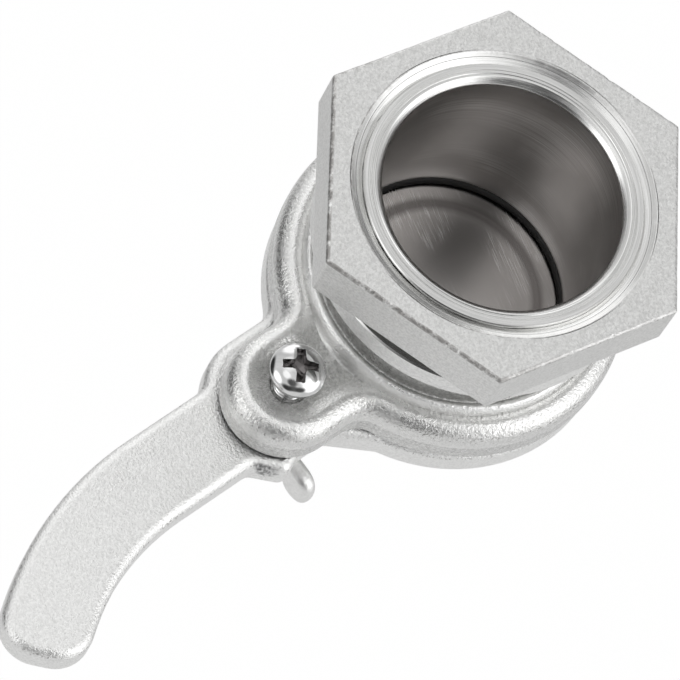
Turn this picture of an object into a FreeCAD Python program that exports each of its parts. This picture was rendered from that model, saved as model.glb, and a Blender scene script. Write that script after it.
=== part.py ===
import FreeCAD, Part
import math
import os

import Sketcher

# Honey gate valve. A threaded tube goes through the wall of a honey tank and a hexagon nut clamps it there.
# Outside the tank a lever swings its round disc across the outlet face.
# Frame: origin on the waterway's axis in the plane of the seat that meets the tank's wall.
# +Y points along the tube into the tank, +Z points from the waterway up to the pivot, +X completes the frame.
# A depth is measured from the seat towards the outlet, so a point at depth d has Y = -d.

doc = FreeCAD.newDocument("honey_gate_valve")
sheet = doc.addObject("Spreadsheet::Sheet", "Sizes")

# Driving dimensions, in millimetres and degrees
DRIVING = (
    ("bore_radius", 19.5),
    ("mouth_chamfer", 0.8),
    ("thread_radius", 23.9),
    ("thread_chamfer", 1.2),
    ("tube_length", 13.6),
    ("seat_radius", 26.8),
    ("seat_width", 4.0),
    ("neck_radius", 22.9),
    ("neck_bevel", 1.0),
    ("bead_radius", 25.3),
    ("bead_height", 2.4),
    ("bead_bevel", 0.9),
    ("bead_foot_bevel", 0.5),
    ("body_depth", 22.6),
    ("flange_radius", 29.3),
    ("flange_thickness", 7.4),
    ("flange_round", 2.8),
    ("pivot_height", 35.2),
    ("ear_radius", 10.0),
    ("ear_root", 26.3),
    ("ear_fairing", 4.5),
    ("web_dish_radius", 5.8),
    ("web_dish_root", 27.0),
    ("web_dish_depth", 1.3),
    ("web_dish_bevel", 1.1),
    ("seal_inner_radius", 18.4),
    ("seal_outer_radius", 23.0),
    ("seal_thickness", 1.3),
    ("seal_bevel", 0.3),
    ("seal_recess", 0.05),
    ("seal_fit", 0.05),
    ("keeper_swing_room", 0.6),
    ("keeper_lip_gap", 0.2),
    ("keeper_wall", 4.6),
    ("keeper_top_drop", 2.9),
    ("keeper_lip", 2.9),
    ("keeper_reach", 4.5),
    ("keeper_open_angle", 14.0),
    ("keeper_shut_angle", 28.0),
    ("keeper_round", 1.0),
    ("keeper_bevel", 0.8),
    ("nut_flats", 56.4),
    ("nut_thickness", 9.5),
    ("nut_overhang", 0.35),
    ("nut_edge", 0.25),
    ("nut_countersink", 0.7),
    ("nut_turn", 11.7),
    ("thread_fit", 0.05),
    ("face_gap", 0.1),
    ("land_height", 0.5),
    ("land_radius", 25.5),
    ("boss_radius", 6.5),
    ("dish_radius", 15.5),
    ("dish_depth", 0.4),
    ("disc_radius", 28.9),
    ("plate_thickness", 6.0),
    ("plate_round", 1.8),
    ("plate_bevel", 1.2),
    ("hub_radius", 10.4),
    ("hub_offset", 2.5),
    ("waist_side", 8.6),
    ("waist_drop", 3.3),
    ("waist_rise", 2.4),
    ("lug_side", 10.3),
    ("lug_rise", 6.1),
    ("lug_top", 10.4),
    ("fairing_radius", 4.0),
    ("corner_radius", 2.0),
    ("handle_left", 8.8),
    ("handle_right", 6.0),
    ("shank_top", 59.3),
    ("handle_bend", 43.1),
    ("handle_sweep", 42.9),
    ("tip_radius", 6.2),
    ("screw_radius", 2.5),
    ("screw_fit", 0.05),
    ("screw_length", 25.0),
    ("screw_standoff", 4.0),
    ("head_radius", 4.6),
    ("head_height", 3.0),
    ("head_rim", 0.9),
    ("head_shoulder", 0.9),
    ("screw_chamfer", 0.5),
    ("cross_width", 1.3),
    ("cross_span", 5.6),
    ("cross_depth", 2.0),
    ("cross_turn", 41.0),
    ("stack_gap", 0.05),
    ("washer_radius", 5.0),
    ("washer_thickness", 1.0),
    ("spring_radius", 4.6),
    ("spring_thickness", 1.3),
    ("spring_slit", 1.2),
    ("wing_base_radius", 5.2),
    ("wing_crown_radius", 4.4),
    ("wing_hub_height", 4.8),
    ("wing_span", 13.2),
    ("wing_height", 7.5),
    ("wing_thickness", 3.4),
    ("wing_tip_radius", 3.0),
    ("wing_root", 10.0),
    ("wing_foot", 0.5),
)


class Size:
    """A number that keeps its formula, so that a sketch gets its value and its link to the sheet together."""

    def __init__(self, value, formula):
        self.value = float(value)
        self.formula = formula

    def joined(self, other, sign, value):
        formula = other.formula if isinstance(other, Size) else repr(float(other))
        return Size(value, f"({self.formula} {sign} {formula})")

    def __add__(self, other):
        return self.joined(other, "+", self.value + float(other))

    def __sub__(self, other):
        return self.joined(other, "-", self.value - float(other))

    def __mul__(self, other):
        return self.joined(other, "*", self.value * float(other))

    def __truediv__(self, other):
        return self.joined(other, "/", self.value / float(other))

    def __neg__(self):
        return self * -1.0

    def __float__(self):
        return self.value


def read_sheet():
    """Fills the sheet, one row for each driving dimension, and returns the sizes by name."""
    sizes = {}
    for row, (name, value) in enumerate(DRIVING, start=1):
        sheet.set(f"A{row}", name)
        sheet.set(f"B{row}", str(value))
        sheet.setAlias(f"B{row}", name)
        sizes[name] = Size(value, f"Sizes.{name}")
    doc.recompute()
    return sizes


size = read_sheet()
ZERO = Size(0.0, "0")

# Depths that more than one piece shares
flange_depth = size["body_depth"] - size["flange_thickness"]
land_depth = size["body_depth"] + size["face_gap"]
plate_depth = land_depth + size["land_height"]
plate_back = plate_depth + size["plate_thickness"]
washer_depth = plate_back + size["stack_gap"]
spring_depth = washer_depth + size["washer_thickness"] + size["stack_gap"]
wing_depth = spring_depth + size["spring_thickness"] + size["stack_gap"]
screw_hole = size["screw_radius"] + size["screw_fit"]
seal_back = size["body_depth"] - size["seal_recess"] - size["seal_thickness"]


# Sketching helpers

def new_body(label):
    body = doc.addObject("PartDesign::Body", label)
    body.Label = label
    return body


def sketch_on(body, name, role, depth=None):
    """A sketch on one of the body's own origin planes, moved out along the plane's normal by a depth."""
    sketch = body.newObject("Sketcher::SketchObject", name)
    plane = [feature for feature in body.Origin.OriginFeatures if feature.Role == role][0]
    sketch.AttachmentSupport = [(plane, "")]
    sketch.MapMode = "FlatFace"
    if depth is not None:
        sketch.AttachmentOffset = FreeCAD.Placement(FreeCAD.Vector(0, 0, depth.value), FreeCAD.Rotation())
        sketch.setExpression("AttachmentOffset.Base.z", depth.formula)
    return sketch


def bind(sketch, kind, where, target):
    """Adds a dimension to a sketch and ties it to the sheet."""
    number = sketch.addConstraint(Sketcher.Constraint(kind, *where, target.value))
    sketch.setExpression(f"Constraints[{number}]", target.formula)


def fix_point(sketch, geometry, end, x, y):
    """Ties one point of a sketch to a place measured from the sketch's origin."""
    origin_point = (-1, 1)
    x_axis = -1
    y_axis = -2
    if x.value == 0.0 and y.value == 0.0:
        sketch.addConstraint(Sketcher.Constraint("Coincident", geometry, end, *origin_point))
        return
    if x.value == 0.0:
        sketch.addConstraint(Sketcher.Constraint("PointOnObject", geometry, end, y_axis))
    else:
        bind(sketch, "DistanceX", (*origin_point, geometry, end), x)
    if y.value == 0.0:
        sketch.addConstraint(Sketcher.Constraint("PointOnObject", geometry, end, x_axis))
    else:
        bind(sketch, "DistanceY", (*origin_point, geometry, end), y)


def add_circle(sketch, radius, x=ZERO, y=ZERO):
    centre = FreeCAD.Vector(x.value, y.value, 0)
    circle = sketch.addGeometry(Part.Circle(centre, FreeCAD.Vector(0, 0, 1), radius.value), False)
    fix_point(sketch, circle, 3, x, y)
    bind(sketch, "Radius", (circle,), radius)


def add_outline(sketch, points):
    """A closed outline of straight lines through points, each one tied to the sheet."""
    corners = [FreeCAD.Vector(x.value, y.value, 0) for x, y in points]
    lines = []
    for start, end in zip(corners, corners[1:] + corners[:1]):
        lines.append(sketch.addGeometry(Part.LineSegment(start, end), False))
    for line, following in zip(lines, lines[1:] + lines[:1]):
        sketch.addConstraint(Sketcher.Constraint("Coincident", line, 2, following, 1))
    for line, (x, y) in zip(lines, points):
        fix_point(sketch, line, 1, x, y)


def add_rectangle(sketch, left, right, bottom, top):
    add_outline(sketch, [(left, bottom), (right, bottom), (right, top), (left, top)])


def add_ring_sector(sketch, x, y, inner, outer, low_angle, high_angle):
    """A piece of a flat ring about a centre, between two angles in degrees from the sketch's first axis."""
    centre = FreeCAD.Vector(x.value, y.value, 0)
    low = math.radians(low_angle.value)
    high = math.radians(high_angle.value)

    def at(radius, angle):
        return centre + FreeCAD.Vector(radius * math.cos(angle), radius * math.sin(angle), 0)

    def arc(radius):
        circle = Part.Circle(centre, FreeCAD.Vector(0, 0, 1), radius.value)
        return sketch.addGeometry(Part.ArcOfCircle(circle, low, high), False)

    outer_arc = arc(outer)
    inner_arc = arc(inner)
    low_end = sketch.addGeometry(Part.LineSegment(at(inner.value, low), at(outer.value, low)), False)
    high_end = sketch.addGeometry(Part.LineSegment(at(inner.value, high), at(outer.value, high)), False)
    for curve in (outer_arc, inner_arc):
        fix_point(sketch, curve, 3, x, y)
    bind(sketch, "Radius", (outer_arc,), outer)
    bind(sketch, "Radius", (inner_arc,), inner)
    for line, end in ((low_end, 1), (high_end, 2)):
        sketch.addConstraint(Sketcher.Constraint("Coincident", line, 1, inner_arc, end))
        sketch.addConstraint(Sketcher.Constraint("Coincident", line, 2, outer_arc, end))
        sketch.addConstraint(Sketcher.Constraint("PointOnObject", outer_arc, 3, line))
    for line, angle in ((low_end, low_angle), (high_end, high_angle)):
        number = sketch.addConstraint(Sketcher.Constraint("Angle", line, math.radians(angle.value)))
        sketch.setExpression(f"Constraints[{number}]", f"({angle.formula}) * 1 deg")


# Feature helpers

def feature(body, kind, name, sketch):
    made = body.newObject(f"PartDesign::{kind}", name)
    made.Profile = sketch
    return made


def pad(body, name, sketch, length):
    """Adds material from the sketch's plane, along its normal."""
    made = feature(body, "Pad", name, sketch)
    made.setExpression("Length", length.formula)
    doc.recompute()
    return made


def pocket(body, name, sketch, length):
    """Cuts material from the sketch's plane, along its normal, and makes sure that something was cut."""
    before = body.Shape.Volume
    made = feature(body, "Pocket", name, sketch)
    made.Reversed = True
    made.setExpression("Length", length.formula)
    doc.recompute()
    if body.Shape.Volume >= before:
        raise RuntimeError(f"{name} cuts nothing")
    return made


def revolve(body, name, sketch):
    """Turns a half section in the XY plane once round the Y axis."""
    made = feature(body, "Revolution", name, sketch)
    made.ReferenceAxis = (sketch, ["V_Axis"])
    made.Angle = 360.0
    doc.recompute()
    return made


def dress(body, kind, name, amount, chosen):
    """A Fillet or a Chamfer on the edges of the body that the function chosen picks."""
    base = body.Tip
    names = [f"Edge{n}" for n, edge in enumerate(base.Shape.Edges, start=1) if chosen(edge)]
    if not names:
        raise RuntimeError(f"{name} finds no edge")
    made = body.newObject(f"PartDesign::{kind}", name)
    made.Base = (base, names)
    made.setExpression("Radius" if kind == "Fillet" else "Size", amount.formula)
    doc.recompute()
    return made


# Ways to pick edges

TOUCH = 1e-4


def lies_at(depth):
    """Edges that lie flat at one depth."""
    level = -float(depth)
    return lambda edge: abs(edge.BoundBox.YMin - level) < TOUCH and abs(edge.BoundBox.YMax - level) < TOUCH


def circle_at(radius, depth):
    """Circular edges of one radius about the waterway's axis, at one depth."""
    flat = lies_at(depth)

    def chosen(edge):
        curve = edge.Curve
        if not flat(edge) or not hasattr(curve, "Radius"):
            return False
        centred = math.hypot(curve.Center.x, curve.Center.z) < TOUCH
        return centred and abs(curve.Radius - float(radius)) < TOUCH

    return chosen


def upright_near(x, z, reach=1.0):
    """Straight edges along Y that pass within a short reach of a point."""

    def chosen(edge):
        box = edge.BoundBox
        upright = box.XLength < TOUCH and box.ZLength < TOUCH and box.YLength > TOUCH
        return upright and math.hypot(box.XMin - float(x), box.ZMin - float(z)) < reach

    return chosen


def any_of(*tests):
    return lambda edge: any(test(edge) for test in tests)


def on_pivot_hole(edge):
    """The round edges of a hole for the screw."""
    return hasattr(edge.Curve, "Radius") and abs(edge.Curve.Radius - float(screw_hole)) < TOUCH


def circle_height(radius, x, centre=ZERO):
    """The Z of a circle's upper half at a given X."""
    return float(centre) + math.sqrt(float(radius) ** 2 - float(x) ** 2)


def place_on_pivot(body, depth, turn=ZERO):
    """Moves a piece that was drawn at the origin to a depth on the pivot's axis and turns it about that axis."""
    body.Placement = FreeCAD.Placement(
        FreeCAD.Vector(0, -depth.value, size["pivot_height"].value),
        FreeCAD.Rotation(FreeCAD.Vector(0, -1, 0), turn.value))
    body.setExpression("Placement.Base.y", (-depth).formula)
    body.setExpression("Placement.Base.z", size["pivot_height"].formula)
    body.setExpression("Placement.Rotation.Angle", f"{turn.formula} * 1 deg")


# The body: one casting with the threaded tube, the seat, the neck, the flange, the pivot ear and the keeper

def valve_body():
    body = new_body("valve_body")
    tube_turning(body)
    pivot_ear(body)
    keeper(body)

    floor = seal_back - size["seal_fit"]
    counterbore = sketch_on(body, "seal_counterbore_outline", "XZ_Plane", floor)
    add_circle(counterbore, size["seal_outer_radius"] + size["seal_fit"])
    pocket(body, "seal_counterbore", counterbore, size["body_depth"] - floor)

    tapped = sketch_on(body, "tapped_hole_outline", "XZ_Plane", flange_depth)
    add_circle(tapped, screw_hole, y=size["pivot_height"])
    pocket(body, "tapped_hole", tapped, size["flange_thickness"])
    return body


def tube_turning(body):
    bead_depth = flange_depth - size["bead_height"]
    undercut = size["seat_width"] + (size["seat_radius"] - size["neck_radius"]) / 2.0
    half = sketch_on(body, "half_section", "XY_Plane")
    add_outline(half, [
        (size["bore_radius"], -size["body_depth"]),
        (size["bore_radius"], size["tube_length"] - size["mouth_chamfer"]),
        (size["bore_radius"] + size["mouth_chamfer"], size["tube_length"]),
        (size["thread_radius"] - size["thread_chamfer"], size["tube_length"]),
        (size["thread_radius"], size["tube_length"] - size["thread_chamfer"]),
        (size["thread_radius"], ZERO),
        (size["seat_radius"], ZERO),
        (size["seat_radius"], -size["seat_width"]),
        (size["neck_radius"], -undercut),
        (size["neck_radius"], -bead_depth),
        (size["bead_radius"], -bead_depth),
        (size["bead_radius"], -flange_depth),
        (size["flange_radius"], -flange_depth),
        (size["flange_radius"], -size["body_depth"]),
    ])
    revolve(body, "turned_shape", half)
    dress(body, "Chamfer", "neck_bevels", size["neck_bevel"], any_of(
        circle_at(size["neck_radius"], undercut),
        circle_at(size["neck_radius"], bead_depth),
    ))
    dress(body, "Chamfer", "bead_crest", size["bead_bevel"], circle_at(size["bead_radius"], bead_depth))
    dress(body, "Chamfer", "bead_foot", size["bead_foot_bevel"], circle_at(size["bead_radius"], flange_depth))


def pivot_ear(body):
    ear = sketch_on(body, "ear_outline", "XZ_Plane", flange_depth)
    add_circle(ear, size["ear_radius"], y=size["pivot_height"])
    pad(body, "ear", ear, size["flange_thickness"])
    cheeks = sketch_on(body, "cheek_outline", "XZ_Plane", flange_depth)
    add_rectangle(cheeks, -size["ear_radius"], size["ear_radius"], size["ear_root"], size["pivot_height"])
    pad(body, "cheeks", cheeks, size["flange_thickness"])

    corner = circle_height(size["flange_radius"], size["ear_radius"])
    dress(body, "Fillet", "ear_fairings", size["ear_fairing"], any_of(
        upright_near(size["ear_radius"], corner),
        upright_near(-size["ear_radius"], corner),
    ))
    top = lies_at(flange_depth)
    foot = circle_at(size["bead_radius"] + size["bead_foot_bevel"], flange_depth)

    def on_rim(edge):
        return top(edge) and not foot(edge)

    dress(body, "Fillet", "rim_round", size["flange_round"], on_rim)
    web_dish(body)


def web_dish(body):
    """The ear's web lies lower than the rim round it: a round dish at the pivot that runs on to the bead."""
    radius = size["web_dish_radius"]
    pivot = size["pivot_height"]
    depth = size["web_dish_depth"]
    round_dish = sketch_on(body, "round_dish_outline", "XZ_Plane", flange_depth)
    add_circle(round_dish, radius, y=pivot)
    pocket(body, "round_dish", round_dish, depth)
    dish_root = sketch_on(body, "dish_root_outline", "XZ_Plane", flange_depth)
    add_rectangle(dish_root, -radius, radius, size["web_dish_root"], pivot)
    pocket(body, "dish_root", dish_root, depth)

    def on_dish(edge):
        box = edge.BoundBox
        within = abs(box.XMin) < float(radius) + TOUCH and abs(box.XMax) < float(radius) + TOUCH
        return lies_at(flange_depth)(edge) and within and box.ZMin > float(size["web_dish_root"]) - TOUCH

    dress(body, "Chamfer", "dish_slope", size["web_dish_bevel"], on_dish)


def keeper(body):
    """The hook on the far side from the pivot: the disc slides into it and its rim stops against the wall."""
    wall_radius = size["disc_radius"] + size["keeper_swing_room"]
    outer = wall_radius + size["keeper_wall"]
    inner = size["disc_radius"] - size["keeper_reach"]
    down = Size(270.0, "270")
    low = down - size["keeper_open_angle"]
    high = down + size["keeper_shut_angle"]
    top = flange_depth + size["keeper_top_drop"]
    lip_depth = plate_back + size["keeper_lip_gap"]
    back = lip_depth + size["keeper_lip"]

    block = sketch_on(body, "keeper_outline", "XZ_Plane", top)
    add_ring_sector(block, ZERO, ZERO, inner, outer, low, high)
    pad(body, "keeper_block", block, back - top)
    ends = []
    for radius in (float(inner), float(outer)):
        for angle in (math.radians(float(low)), math.radians(float(high))):
            ends.append(upright_near(radius * math.cos(angle), radius * math.sin(angle)))
    dress(body, "Fillet", "keeper_corners", size["keeper_round"], any_of(*ends))
    dress(body, "Chamfer", "keeper_back_rim", size["keeper_bevel"], lies_at(back))

    seat = sketch_on(body, "disc_room_outline", "XZ_Plane", size["body_depth"])
    add_circle(seat, wall_radius)
    pocket(body, "disc_room", seat, lip_depth - size["body_depth"])

    swing = sketch_on(body, "swing_room_outline", "XZ_Plane", size["body_depth"])
    add_ring_sector(swing, ZERO, size["pivot_height"], size["pivot_height"],
                    size["pivot_height"] + wall_radius, down - size["keeper_open_angle"], down)
    pocket(body, "swing_room", swing, lip_depth - size["body_depth"])


# The hexagon nut that clamps the tank's wall against the seat

def lock_nut():
    body = new_body("lock_nut")
    half_flat = size["nut_flats"] / 2.0
    corner = half_flat * (2.0 / math.sqrt(3.0))
    hexagon = sketch_on(body, "hexagon", "XZ_Plane", -size["nut_thickness"])
    add_outline(hexagon, [
        (ZERO, corner),
        (half_flat, corner / 2.0),
        (half_flat, -corner / 2.0),
        (ZERO, -corner),
        (-half_flat, -corner / 2.0),
        (-half_flat, corner / 2.0),
    ])
    pad(body, "blank", hexagon, size["nut_thickness"])
    dress(body, "Chamfer", "broken_edges", size["nut_edge"], lambda edge: True)

    thread = sketch_on(body, "thread_outline", "XZ_Plane", -size["nut_thickness"])
    add_circle(thread, size["thread_radius"] + size["thread_fit"])
    pocket(body, "thread_bore", thread, size["nut_thickness"])
    bore = size["thread_radius"] + size["thread_fit"]
    dress(body, "Chamfer", "countersinks", size["nut_countersink"], any_of(
        circle_at(bore, ZERO),
        circle_at(bore, -size["nut_thickness"]),
    ))

    base = size["tube_length"] + size["nut_overhang"] - size["nut_thickness"]
    turn = FreeCAD.Rotation(FreeCAD.Vector(0, -1, 0), size["nut_turn"].value)
    body.Placement = FreeCAD.Placement(FreeCAD.Vector(0, base.value, 0), turn)
    body.setExpression("Placement.Base.y", base.formula)
    body.setExpression("Placement.Rotation.Angle", f"{size['nut_turn'].formula} * 1 deg")
    return body


# The lever: one casting with the closing disc, the hub and the curved handle

def gate_lever():
    body = new_body("gate_lever")
    lever_plate(body)
    lever_handle(body)
    lever_edges(body)
    lever_faces(body)
    return body


def plate_sketch(body, name):
    return sketch_on(body, name, "XZ_Plane", plate_depth)


def lever_plate(body):
    """The hub round the pivot, a neck with a waist and a lug on its right side, and the disc."""
    thickness = size["plate_thickness"]
    pivot = size["pivot_height"]
    hub = plate_sketch(body, "hub_outline")
    add_circle(hub, size["hub_radius"], -size["hub_offset"], pivot)
    pad(body, "hub", hub, thickness)

    left = -size["hub_offset"] - size["hub_radius"]
    # Sixty degrees up the disc's rim, where the neck's right side leaves it
    rim_x = size["disc_radius"] / 2.0
    rim_z = size["disc_radius"] * (math.sqrt(3.0) / 2.0)
    neck = plate_sketch(body, "neck_outline")
    add_outline(neck, [
        (left, pivot),
        (left, rim_x),
        (rim_x, rim_x),
        (rim_x, rim_z),
        (size["waist_side"], pivot - size["waist_drop"]),
        (size["waist_side"], pivot + size["waist_rise"]),
        (size["lug_side"], pivot + size["lug_rise"]),
        (size["handle_right"], pivot + size["lug_top"]),
    ])
    pad(body, "neck", neck, thickness)
    disc = plate_sketch(body, "disc_outline")
    add_circle(disc, size["disc_radius"])
    pad(body, "disc", disc, thickness)


def lever_handle(body):
    thickness = size["plate_thickness"]
    width = size["handle_left"] + size["handle_right"]
    shank = plate_sketch(body, "shank_outline")
    add_rectangle(shank, -size["handle_left"], size["handle_right"], size["pivot_height"], size["shank_top"])
    pad(body, "shank", shank, thickness)

    half_turn = Size(180.0, "180")
    bend = plate_sketch(body, "handle_outline")
    add_ring_sector(bend, size["handle_right"] + size["handle_bend"], size["shank_top"],
                    size["handle_bend"], size["handle_bend"] + width,
                    half_turn - size["handle_sweep"], half_turn)
    pad(body, "handle_bend_pad", bend, thickness)


def lever_edges(body):
    pivot = size["pivot_height"]
    bend_x = float(size["handle_right"]) + float(size["handle_bend"])
    sweep = math.radians(180.0 - float(size["handle_sweep"]))
    tips = []
    for radius in (float(size["handle_bend"]), bend_x + float(size["handle_left"])):
        tips.append(upright_near(bend_x + radius * math.cos(sweep),
                                 float(size["shank_top"]) + radius * math.sin(sweep)))
    dress(body, "Fillet", "handle_tip", size["tip_radius"], any_of(*tips))

    left = size["handle_left"]
    hub_left = size["hub_offset"] + size["hub_radius"]
    dress(body, "Fillet", "plate_fairings", size["fairing_radius"], any_of(
        upright_near(-left, circle_height(size["hub_radius"], left - size["hub_offset"], pivot)),
        upright_near(-hub_left, circle_height(size["disc_radius"], hub_left)),
    ))
    dress(body, "Fillet", "lug_corners", size["corner_radius"], any_of(
        upright_near(size["waist_side"], pivot - size["waist_drop"]),
        upright_near(size["waist_side"], pivot + size["waist_rise"]),
        upright_near(size["lug_side"], pivot + size["lug_rise"]),
        upright_near(size["handle_right"], pivot + size["lug_top"]),
        upright_near(size["disc_radius"] / 2.0, size["disc_radius"] * (math.sqrt(3.0) / 2.0)),
    ))

    hole = plate_sketch(body, "pivot_hole_outline")
    add_circle(hole, screw_hole, y=pivot)
    pocket(body, "pivot_hole", hole, size["plate_thickness"])

    def front_outline(edge):
        return lies_at(plate_depth)(edge) and not on_pivot_hole(edge)

    def back_outline(edge):
        return lies_at(plate_back)(edge) and not on_pivot_hole(edge)

    dress(body, "Fillet", "front_rim", size["plate_round"], front_outline)
    dress(body, "Chamfer", "back_rim", size["plate_bevel"], back_outline)


def lever_faces(body):
    """The machined faces: a sealing land with a shallow dish, and a boss round the pivot."""
    pivot = size["pivot_height"]
    land = sketch_on(body, "land_outline", "XZ_Plane", land_depth)
    add_circle(land, size["land_radius"])
    pad(body, "sealing_land", land, size["land_height"])
    boss = sketch_on(body, "boss_outline", "XZ_Plane", land_depth)
    add_circle(boss, size["boss_radius"], y=pivot)
    add_circle(boss, screw_hole, y=pivot)
    pad(body, "pivot_boss", boss, size["land_height"])
    dish = sketch_on(body, "dish_outline", "XZ_Plane", land_depth)
    add_circle(dish, size["dish_radius"])
    pocket(body, "dish", dish, size["dish_depth"])


# The rubber ring in the counterbore of the outlet face

def seal_ring():
    body = new_body("seal_ring")
    ring = sketch_on(body, "ring_outline", "XZ_Plane", seal_back)
    add_circle(ring, size["seal_outer_radius"])
    add_circle(ring, size["seal_inner_radius"])
    pad(body, "ring", ring, size["seal_thickness"])
    dress(body, "Chamfer", "lip_bevels", size["seal_bevel"], any_of(
        circle_at(size["seal_inner_radius"], seal_back),
        circle_at(size["seal_inner_radius"], seal_back + size["seal_thickness"]),
    ))
    return body


# The pivot screw, screwed into the ear from the tank's side, its head a little proud of it

def pivot_screw():
    body = new_body("pivot_screw")
    half = sketch_on(body, "half_section", "XY_Plane")
    add_outline(half, [
        (ZERO, size["head_height"]),
        (size["head_radius"] - size["head_rim"] - size["head_shoulder"], size["head_height"]),
        (size["head_radius"] - size["head_shoulder"], size["head_height"] - size["head_shoulder"]),
        (size["head_radius"], size["head_rim"]),
        (size["head_radius"], ZERO),
        (size["screw_radius"], ZERO),
        (size["screw_radius"], size["screw_chamfer"] - size["screw_length"]),
        (size["screw_radius"] - size["screw_chamfer"], -size["screw_length"]),
        (ZERO, -size["screw_length"]),
    ])
    revolve(body, "turned_shape", half)
    arm = size["cross_span"] / 2.0
    half_width = size["cross_width"] / 2.0
    for name, across, along in (("cross_slot_level", arm, half_width), ("cross_slot_upright", half_width, arm)):
        slot = sketch_on(body, f"{name}_outline", "XZ_Plane", -size["head_height"])
        add_rectangle(slot, -across, across, -along, along)
        pocket(body, name, slot, size["cross_depth"])
    place_on_pivot(body, flange_depth - size["screw_standoff"], size["cross_turn"])
    return body


# Washers between the lever and the wing nut

def flat_washer():
    body = new_body("flat_washer")
    ring = sketch_on(body, "ring_outline", "XZ_Plane")
    add_circle(ring, size["washer_radius"])
    add_circle(ring, screw_hole)
    pad(body, "ring", ring, size["washer_thickness"])
    place_on_pivot(body, washer_depth)
    return body


def spring_washer():
    body = new_body("spring_washer")
    ring = sketch_on(body, "ring_outline", "XZ_Plane")
    add_circle(ring, size["spring_radius"])
    add_circle(ring, screw_hole)
    pad(body, "ring", ring, size["spring_thickness"])
    lean = size["spring_thickness"] / 2.0
    half_slit = size["spring_slit"] / 2.0
    slit = sketch_on(body, "slit_outline", "XY_Plane")
    add_outline(slit, [
        (-half_slit - lean, -size["spring_thickness"]),
        (half_slit - lean, -size["spring_thickness"]),
        (half_slit + lean, ZERO),
        (-half_slit + lean, ZERO),
    ])
    pocket(body, "slit", slit, size["spring_radius"])
    place_on_pivot(body, spring_depth)
    return body


# The wing nut that sets how stiffly the lever turns

def wing_nut():
    body = new_body("wing_nut")
    half = sketch_on(body, "half_section", "XY_Plane")
    add_outline(half, [
        (screw_hole, ZERO),
        (size["wing_base_radius"], ZERO),
        (size["wing_crown_radius"], -size["wing_hub_height"]),
        (screw_hole, -size["wing_hub_height"]),
    ])
    revolve(body, "turned_hub", half)

    tip_x = size["wing_span"] - size["wing_tip_radius"]
    tip_y = size["wing_tip_radius"] - size["wing_height"]
    half_thickness = size["wing_thickness"] / 2.0
    # Where the wing's two edges meet its round tip, as parts of the tip's radius
    under = math.sqrt(0.5)
    inward, upward = 0.8, 0.6
    for name, side in (("right", 1.0), ("left", -1.0)):
        web = sketch_on(body, f"{name}_web_outline", "XY_Plane", -half_thickness)
        add_outline(web, [
            (size["wing_crown_radius"] * side, -size["wing_foot"]),
            (size["wing_root"] * side, -size["wing_foot"]),
            ((tip_x + size["wing_tip_radius"] * under) * side, tip_y + size["wing_tip_radius"] * under),
            ((tip_x - size["wing_tip_radius"] * inward) * side, tip_y - size["wing_tip_radius"] * upward),
            (size["wing_crown_radius"] * side, -size["wing_hub_height"] + size["wing_foot"]),
        ])
        pad(body, f"{name}_web", web, size["wing_thickness"])
        tip = sketch_on(body, f"{name}_tip_outline", "XY_Plane", -half_thickness)
        add_circle(tip, size["wing_tip_radius"], tip_x * side, tip_y)
        pad(body, f"{name}_tip", tip, size["wing_thickness"])
    place_on_pivot(body, wing_depth)
    return body


PIECES = (valve_body, lock_nut, gate_lever, seal_ring, pivot_screw, flat_washer, spring_washer, wing_nut)
made = [piece() for piece in PIECES]
doc.recompute()

for item in doc.Objects:
    if "Invalid" in item.State or "Error" in item.State:
        raise RuntimeError(f"{item.Name} did not build: {item.State}")

os.makedirs("parts", exist_ok=True)
for item in made:
    shape = item.Shape
    if shape.isNull() or not shape.isValid():
        raise RuntimeError(f"{item.Label} has no valid shape")
    shape.exportStep(f"parts/{item.Label}.step")
    box = shape.BoundBox
    print(f"{item.Label}: {len(shape.Solids)} solid, {shape.Volume:.1f} mm3, "
          f"X {box.XMin:.2f} {box.XMax:.2f} Y {box.YMin:.2f} {box.YMax:.2f} Z {box.ZMin:.2f} {box.ZMax:.2f}")
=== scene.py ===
import math

import bmesh
import bpy
import numpy as np
from mathutils import Matrix, Vector


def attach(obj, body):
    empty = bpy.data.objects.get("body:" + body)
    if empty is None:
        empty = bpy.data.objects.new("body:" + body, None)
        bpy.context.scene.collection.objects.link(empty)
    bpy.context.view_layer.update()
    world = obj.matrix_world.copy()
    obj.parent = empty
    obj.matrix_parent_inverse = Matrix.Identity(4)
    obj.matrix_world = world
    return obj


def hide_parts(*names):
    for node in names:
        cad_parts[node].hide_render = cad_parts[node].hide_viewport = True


# Honey gate valve, as it is mounted on a tank's wall: +Y into the tank, +Z up to the lever's pivot.
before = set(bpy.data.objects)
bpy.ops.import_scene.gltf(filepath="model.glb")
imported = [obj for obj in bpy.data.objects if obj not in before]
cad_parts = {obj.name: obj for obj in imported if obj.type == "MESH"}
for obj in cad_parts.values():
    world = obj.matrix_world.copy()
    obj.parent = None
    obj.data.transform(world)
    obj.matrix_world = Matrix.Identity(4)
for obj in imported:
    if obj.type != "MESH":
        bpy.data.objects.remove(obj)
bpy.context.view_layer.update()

MM = 0.001


# The camera stands a metre off on the tank's side, above the tube's mouth, and is rolled so that the handle
# points down to the left. Its place and lens come from the nut's six corners and the two ends of the bore.

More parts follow.
